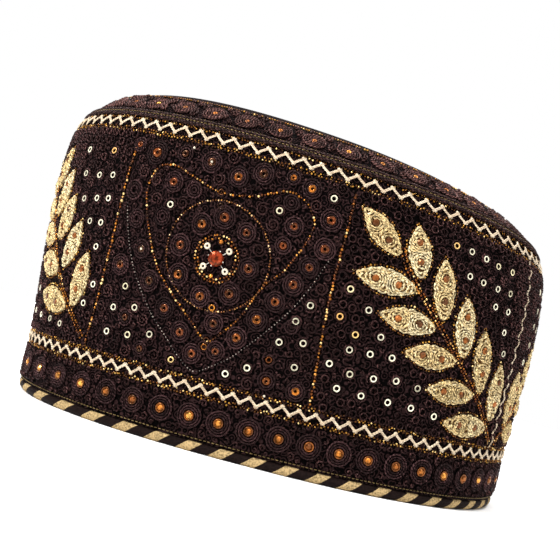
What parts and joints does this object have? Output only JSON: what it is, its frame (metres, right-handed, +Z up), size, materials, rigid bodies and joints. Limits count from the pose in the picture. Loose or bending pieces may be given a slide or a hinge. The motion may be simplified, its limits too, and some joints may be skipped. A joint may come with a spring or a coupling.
{
  "type": "tubeteika skullcap",
  "caption": "Oval cloth skullcap with an upright wall, a soft domed crown, a striped rim binding and raised embroidery with stones.",
  "frame": {"origin": "on the floor at the middle of the cap's outline", "axes": "+Z up with the rim down; +X along the oval's longer side, from the wearer's one temple end to the other; -Y is the side with the first heart panel"},
  "size_m": [0.2108, 0.1721, 0.1275],
  "materials": {
    "dark_cloth": "dark brown-black cloth covered in looped chain stitch",
    "ivory_thread": "thick ivory thread with a soft sheen",
    "striped_binding": "ribbed binding in slanting ivory and dark brown stripes",
    "dark_rosettes": "dark twisted cord in rings about amber cut stones",
    "jewel": "red-orange cut glass with pearls on a silvery setting"
  },
  "bodies": {
    "root": {"wall": "dark_cloth", "crown": "dark_cloth", "crown_welt": "dark_cloth", "rim_piping": "striped_binding", "lower_zigzag": "ivory_thread", "upper_zigzag": "ivory_thread", "seam_zigzag": "ivory_thread", "rosette_row": "dark_rosettes", "leaf_spray_1": "ivory_thread", "leaf_spray_2": "ivory_thread", "leaf_spray_3": "ivory_thread", "leaf_spray_4": "ivory_thread", "heart_jewel_1": "jewel", "heart_jewel_2": "jewel", "heart_jewel_3": "jewel"}
  },
  "joints": []
}
